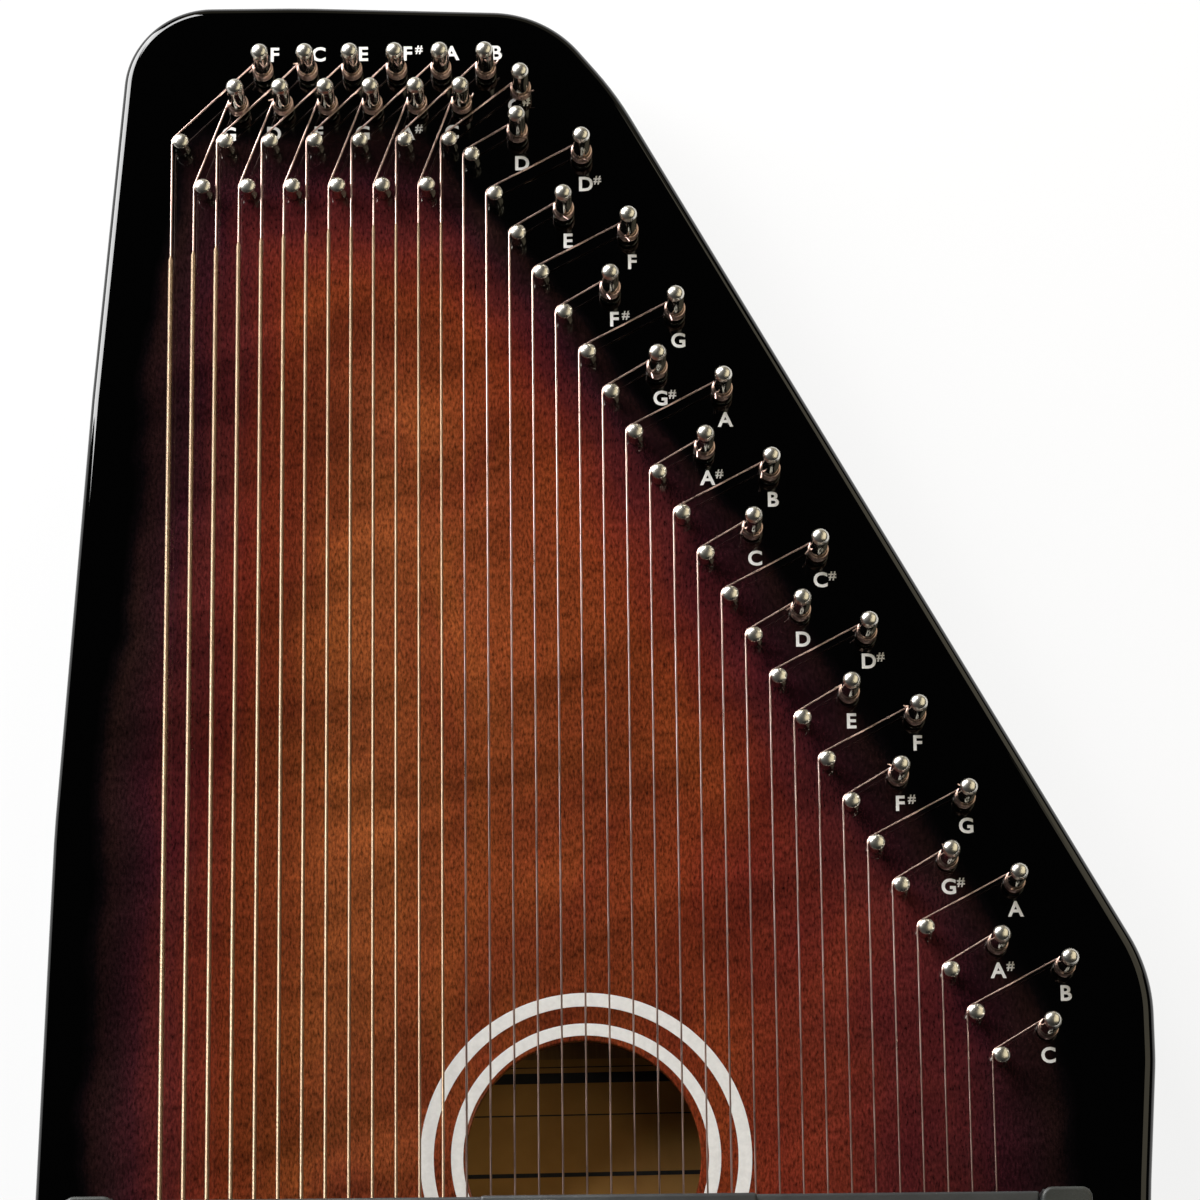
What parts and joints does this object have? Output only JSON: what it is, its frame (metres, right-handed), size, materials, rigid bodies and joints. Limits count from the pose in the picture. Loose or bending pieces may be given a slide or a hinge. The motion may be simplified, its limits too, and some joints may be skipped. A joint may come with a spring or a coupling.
{
  "type": "autoharp",
  "caption": "Tapered sunburst autoharp with a round sound hole, tuning pins and guide pins along its head, steel strings and a rack of felted chord bars pressed by buttons.",
  "frame": {"origin": "under the middle of the body's outline, on the surface that the back rests on", "axes": "+X across the strings towards the treble side, +Y along the strings towards the tuning pins, +Z out of the soundboard"},
  "size_m": [0.315, 0.584, 0.0719],
  "materials": {
    "sunburst_lacquer": "high gloss sunburst lacquer over figured wood",
    "black_lacquer": "high gloss black lacquer",
    "side_lacquer": "high gloss black lacquer over a glued-up wood frame",
    "nickel": "bright nickel plate",
    "string_steel": "drawn steel wire",
    "bronze_winding": "bright bronze wire winding",
    "bridge_hardwood": "satin dark hardwood",
    "black_plastic": "moulded satin black",
    "cover_plastic": "moulded satin dark grey",
    "bar_finish": "satin dark grey",
    "button_plastic": "polished off-white",
    "felt": "dense wool felt",
    "rosette_ivory": "inlaid off-white rings under lacquer",
    "letter_white": "screen-printed white",
    "label_paper": "tan paper with dark ruled lines",
    "spring_steel": "spring wire"
  },
  "bodies": {
    "harp_body": {"soundboard": "sunburst_lacquer", "back_board": "black_lacquer", "frame": "side_lacquer", "strings_on_anchor_bar": "string_steel", "bridge": "bridge_hardwood", "left_bar_holder": "black_plastic", "right_bar_holder": "black_plastic", "left_holder_cover": "cover_plastic", "right_holder_cover": "cover_plastic"},
    "tuning_pin_01": {"tuning_pin_01": "nickel"},
    "tuning_pin_02": {"tuning_pin_02": "nickel"},
    "tuning_pin_03": {"tuning_pin_03": "nickel"},
    "tuning_pin_04": {"tuning_pin_04": "nickel"},
    "tuning_pin_05": {"tuning_pin_05": "nickel"},
    "tuning_pin_06": {"tuning_pin_06": "nickel"},
    "tuning_pin_07": {"tuning_pin_07": "nickel"},
    "tuning_pin_08": {"tuning_pin_08": "nickel"},
    "tuning_pin_09": {"tuning_pin_09": "nickel"},
    "tuning_pin_10": {"tuning_pin_10": "nickel"},
    "tuning_pin_11": {"tuning_pin_11": "nickel"},
    "tuning_pin_12": {"tuning_pin_12": "nickel"},
    "tuning_pin_13": {"tuning_pin_13": "nickel"},
    "tuning_pin_14": {"tuning_pin_14": "nickel"},
    "tuning_pin_15": {"tuning_pin_15": "nickel"},
    "tuning_pin_16": {"tuning_pin_16": "nickel"},
    "tuning_pin_17": {"tuning_pin_17": "nickel"},
    "tuning_pin_18": {"tuning_pin_18": "nickel"},
    "tuning_pin_19": {"tuning_pin_19": "nickel"},
    "tuning_pin_20": {"tuning_pin_20": "nickel"},
    "tuning_pin_21": {"tuning_pin_21": "nickel"},
    "tuning_pin_22": {"tuning_pin_22": "nickel"},
    "tuning_pin_23": {"tuning_pin_23": "nickel"},
    "tuning_pin_24": {"tuning_pin_24": "nickel"},
    "tuning_pin_25": {"tuning_pin_25": "nickel"},
    "tuning_pin_26": {"tuning_pin_26": "nickel"},
    "tuning_pin_27": {"tuning_pin_27": "nickel"},
    "tuning_pin_28": {"tuning_pin_28": "nickel"},
    "tuning_pin_29": {"tuning_pin_29": "nickel"},
    "tuning_pin_30": {"tuning_pin_30": "nickel"},
    "tuning_pin_31": {"tuning_pin_31": "nickel"},
    "tuning_pin_32": {"tuning_pin_32": "nickel"},
    "tuning_pin_33": {"tuning_pin_33": "nickel"},
    "tuning_pin_34": {"tuning_pin_34": "nickel"},
    "tuning_pin_35": {"tuning_pin_35": "nickel"},
    "tuning_pin_36": {"tuning_pin_36": "nickel"},
    "chord_bar_01": {"chord_bar_01": "bar_finish"},
    "chord_bar_02": {"chord_bar_02": "bar_finish"},
    "chord_bar_03": {"chord_bar_03": "bar_finish"},
    "chord_bar_04": {"chord_bar_04": "bar_finish"},
    "chord_bar_05": {"chord_bar_05": "bar_finish"},
    "chord_bar_06": {"chord_bar_06": "bar_finish"},
    "chord_bar_07": {"chord_bar_07": "bar_finish"},
    "chord_bar_08": {"chord_bar_08": "bar_finish"},
    "chord_bar_09": {"chord_bar_09": "bar_finish"},
    "chord_bar_10": {"chord_bar_10": "bar_finish"},
    "chord_bar_11": {"chord_bar_11": "bar_finish"},
    "chord_bar_12": {"chord_bar_12": "bar_finish"},
    "chord_bar_13": {"chord_bar_13": "bar_finish"},
    "chord_bar_14": {"chord_bar_14": "bar_finish"},
    "chord_bar_15": {"chord_bar_15": "bar_finish"}
  },
  "joints": [
    {"name": "turn_tuning_pin_01", "type": "hinge", "parent": "harp_body", "child": "tuning_pin_01", "pos_m": [-0.09345, 0.26991, 0.035], "axis": [0, 0, 1], "continuous": true},
    {"name": "turn_tuning_pin_02", "type": "hinge", "parent": "harp_body", "child": "tuning_pin_02", "pos_m": [-0.10053, 0.25921, 0.035], "axis": [0, 0, 1], "continuous": true},
    {"name": "turn_tuning_pin_03", "type": "hinge", "parent": "harp_body", "child": "tuning_pin_03", "pos_m": [-0.08041, 0.26991, 0.035], "axis": [0, 0, 1], "continuous": true},
    {"name": "turn_tuning_pin_04", "type": "hinge", "parent": "harp_body", "child": "tuning_pin_04", "pos_m": [-0.08749, 0.25921, 0.035], "axis": [0, 0, 1], "continuous": true},
    {"name": "turn_tuning_pin_05", "type": "hinge", "parent": "harp_body", "child": "tuning_pin_05", "pos_m": [-0.06737, 0.26991, 0.035], "axis": [0, 0, 1], "continuous": true},
    {"name": "turn_tuning_pin_06", "type": "hinge", "parent": "harp_body", "child": "tuning_pin_06", "pos_m": [-0.07445, 0.25921, 0.035], "axis": [0, 0, 1], "continuous": true},
    {"name": "turn_tuning_pin_07", "type": "hinge", "parent": "harp_body", "child": "tuning_pin_07", "pos_m": [-0.05433, 0.26991, 0.035], "axis": [0, 0, 1], "continuous": true},
    {"name": "turn_tuning_pin_08", "type": "hinge", "parent": "harp_body", "child": "tuning_pin_08", "pos_m": [-0.06141, 0.25921, 0.035], "axis": [0, 0, 1], "continuous": true},
    {"name": "turn_tuning_pin_09", "type": "hinge", "parent": "harp_body", "child": "tuning_pin_09", "pos_m": [-0.04129, 0.26991, 0.035], "axis": [0, 0, 1], "continuous": true},
    {"name": "turn_tuning_pin_10", "type": "hinge", "parent": "harp_body", "child": "tuning_pin_10", "pos_m": [-0.04837, 0.25921, 0.035], "axis": [0, 0, 1], "continuous": true},
    {"name": "turn_tuning_pin_11", "type": "hinge", "parent": "harp_body", "child": "tuning_pin_11", "pos_m": [-0.02825, 0.26991, 0.035], "axis": [0, 0, 1], "continuous": true},
    {"name": "turn_tuning_pin_12", "type": "hinge", "parent": "harp_body", "child": "tuning_pin_12", "pos_m": [-0.03533, 0.25921, 0.035], "axis": [0, 0, 1], "continuous": true},
    {"name": "turn_tuning_pin_13", "type": "hinge", "parent": "harp_body", "child": "tuning_pin_13", "pos_m": [-0.01801, 0.26331, 0.035], "axis": [0, 0, 1], "continuous": true},
    {"name": "turn_tuning_pin_14", "type": "hinge", "parent": "harp_body", "child": "tuning_pin_14", "pos_m": [-0.01906, 0.25021, 0.035], "axis": [0, 0, 1], "continuous": true},
    {"name": "turn_tuning_pin_15", "type": "hinge", "parent": "harp_body", "child": "tuning_pin_15", "pos_m": [-0.00042, 0.24355, 0.035], "axis": [0, 0, 1], "continuous": true},
    {"name": "turn_tuning_pin_16", "type": "hinge", "parent": "harp_body", "child": "tuning_pin_16", "pos_m": [-0.00579, 0.22609, 0.035], "axis": [0, 0, 1], "continuous": true},
    {"name": "turn_tuning_pin_17", "type": "hinge", "parent": "harp_body", "child": "tuning_pin_17", "pos_m": [0.01285, 0.21943, 0.035], "axis": [0, 0, 1], "continuous": true},
    {"name": "turn_tuning_pin_18", "type": "hinge", "parent": "harp_body", "child": "tuning_pin_18", "pos_m": [0.00748, 0.20197, 0.035], "axis": [0, 0, 1], "continuous": true},
    {"name": "turn_tuning_pin_19", "type": "hinge", "parent": "harp_body", "child": "tuning_pin_19", "pos_m": [0.02612, 0.19531, 0.035], "axis": [0, 0, 1], "continuous": true},
    {"name": "turn_tuning_pin_20", "type": "hinge", "parent": "harp_body", "child": "tuning_pin_20", "pos_m": [0.02075, 0.17785, 0.035], "axis": [0, 0, 1], "continuous": true},
    {"name": "turn_tuning_pin_21", "type": "hinge", "parent": "harp_body", "child": "tuning_pin_21", "pos_m": [0.03939, 0.17119, 0.035], "axis": [0, 0, 1], "continuous": true},
    {"name": "turn_tuning_pin_22", "type": "hinge", "parent": "harp_body", "child": "tuning_pin_22", "pos_m": [0.03402, 0.15373, 0.035], "axis": [0, 0, 1], "continuous": true},
    {"name": "turn_tuning_pin_23", "type": "hinge", "parent": "harp_body", "child": "tuning_pin_23", "pos_m": [0.05266, 0.14707, 0.035], "axis": [0, 0, 1], "continuous": true},
    {"name": "turn_tuning_pin_24", "type": "hinge", "parent": "harp_body", "child": "tuning_pin_24", "pos_m": [0.04729, 0.12961, 0.035], "axis": [0, 0, 1], "continuous": true},
    {"name": "turn_tuning_pin_25", "type": "hinge", "parent": "harp_body", "child": "tuning_pin_25", "pos_m": [0.06593, 0.12295, 0.035], "axis": [0, 0, 1], "continuous": true},
    {"name": "turn_tuning_pin_26", "type": "hinge", "parent": "harp_body", "child": "tuning_pin_26", "pos_m": [0.06057, 0.10549, 0.035], "axis": [0, 0, 1], "continuous": true},
    {"name": "turn_tuning_pin_27", "type": "hinge", "parent": "harp_body", "child": "tuning_pin_27", "pos_m": [0.0792, 0.09883, 0.035], "axis": [0, 0, 1], "continuous": true},
    {"name": "turn_tuning_pin_28", "type": "hinge", "parent": "harp_body", "child": "tuning_pin_28", "pos_m": [0.07384, 0.08137, 0.035], "axis": [0, 0, 1], "continuous": true},
    {"name": "turn_tuning_pin_29", "type": "hinge", "parent": "harp_body", "child": "tuning_pin_29", "pos_m": [0.09247, 0.07471, 0.035], "axis": [0, 0, 1], "continuous": true},
    {"name": "turn_tuning_pin_30", "type": "hinge", "parent": "harp_body", "child": "tuning_pin_30", "pos_m": [0.08711, 0.05725, 0.035], "axis": [0, 0, 1], "continuous": true},
    {"name": "turn_tuning_pin_31", "type": "hinge", "parent": "harp_body", "child": "tuning_pin_31", "pos_m": [0.10574, 0.05059, 0.035], "axis": [0, 0, 1], "continuous": true},
    {"name": "turn_tuning_pin_32", "type": "hinge", "parent": "harp_body", "child": "tuning_pin_32", "pos_m": [0.10038, 0.03313, 0.035], "axis": [0, 0, 1], "continuous": true},
    {"name": "turn_tuning_pin_33", "type": "hinge", "parent": "harp_body", "child": "tuning_pin_33", "pos_m": [0.11901, 0.02647, 0.035], "axis": [0, 0, 1], "continuous": true},
    {"name": "turn_tuning_pin_34", "type": "hinge", "parent": "harp_body", "child": "tuning_pin_34", "pos_m": [0.11365, 0.00901, 0.035], "axis": [0, 0, 1], "continuous": true},
    {"name": "turn_tuning_pin_35", "type": "hinge", "parent": "harp_body", "child": "tuning_pin_35", "pos_m": [0.13228, 0.00235, 0.035], "axis": [0, 0, 1], "continuous": true},
    {"name": "turn_tuning_pin_36", "type": "hinge", "parent": "harp_body", "child": "tuning_pin_36", "pos_m": [0.12692, -0.01511, 0.035], "axis": [0, 0, 1], "continuous": true},
    {"name": "press_chord_bar_01", "type": "slide", "parent": "harp_body", "child": "chord_bar_01", "axis": [0, 0, -1], "range_m": [0, 0.005], "stiffness_N_per_m": 400, "springref_m": -0.004},
    {"name": "press_chord_bar_02", "type": "slide", "parent": "harp_body", "child": "chord_bar_02", "axis": [0, 0, -1], "range_m": [0, 0.005], "stiffness_N_per_m": 400, "springref_m": -0.004},
    {"name": "press_chord_bar_03", "type": "slide", "parent": "harp_body", "child": "chord_bar_03", "axis": [0, 0, -1], "range_m": [0, 0.005], "stiffness_N_per_m": 400, "springref_m": -0.004},
    {"name": "press_chord_bar_04", "type": "slide", "parent": "harp_body", "child": "chord_bar_04", "axis": [0, 0, -1], "range_m": [0, 0.005], "stiffness_N_per_m": 400, "springref_m": -0.004},
    {"name": "press_chord_bar_05", "type": "slide", "parent": "harp_body", "child": "chord_bar_05", "axis": [0, 0, -1], "range_m": [0, 0.005], "stiffness_N_per_m": 400, "springref_m": -0.004},
    {"name": "press_chord_bar_06", "type": "slide", "parent": "harp_body", "child": "chord_bar_06", "axis": [0, 0, -1], "range_m": [0, 0.005], "stiffness_N_per_m": 400, "springref_m": -0.004},
    {"name": "press_chord_bar_07", "type": "slide", "parent": "harp_body", "child": "chord_bar_07", "axis": [0, 0, -1], "range_m": [0, 0.005], "stiffness_N_per_m": 400, "springref_m": -0.004},
    {"name": "press_chord_bar_08", "type": "slide", "parent": "harp_body", "child": "chord_bar_08", "axis": [0, 0, -1], "range_m": [0, 0.005], "stiffness_N_per_m": 400, "springref_m": -0.004},
    {"name": "press_chord_bar_09", "type": "slide", "parent": "harp_body", "child": "chord_bar_09", "axis": [0, 0, -1], "range_m": [0, 0.005], "stiffness_N_per_m": 400, "springref_m": -0.004},
    {"name": "press_chord_bar_10", "type": "slide", "parent": "harp_body", "child": "chord_bar_10", "axis": [0, 0, -1], "range_m": [0, 0.005], "stiffness_N_per_m": 400, "springref_m": -0.004},
    {"name": "press_chord_bar_11", "type": "slide", "parent": "harp_body", "child": "chord_bar_11", "axis": [0, 0, -1], "range_m": [0, 0.005], "stiffness_N_per_m": 400, "springref_m": -0.004},
    {"name": "press_chord_bar_12", "type": "slide", "parent": "harp_body", "child": "chord_bar_12", "axis": [0, 0, -1], "range_m": [0, 0.005], "stiffness_N_per_m": 400, "springref_m": -0.004},
    {"name": "press_chord_bar_13", "type": "slide", "parent": "harp_body", "child": "chord_bar_13", "axis": [0, 0, -1], "range_m": [0, 0.005], "stiffness_N_per_m": 400, "springref_m": -0.004},
    {"name": "press_chord_bar_14", "type": "slide", "parent": "harp_body", "child": "chord_bar_14", "axis": [0, 0, -1], "range_m": [0, 0.005], "stiffness_N_per_m": 400, "springref_m": -0.004},
    {"name": "press_chord_bar_15", "type": "slide", "parent": "harp_body", "child": "chord_bar_15", "axis": [0, 0, -1], "range_m": [0, 0.005], "stiffness_N_per_m": 400, "springref_m": -0.004}
  ]
}
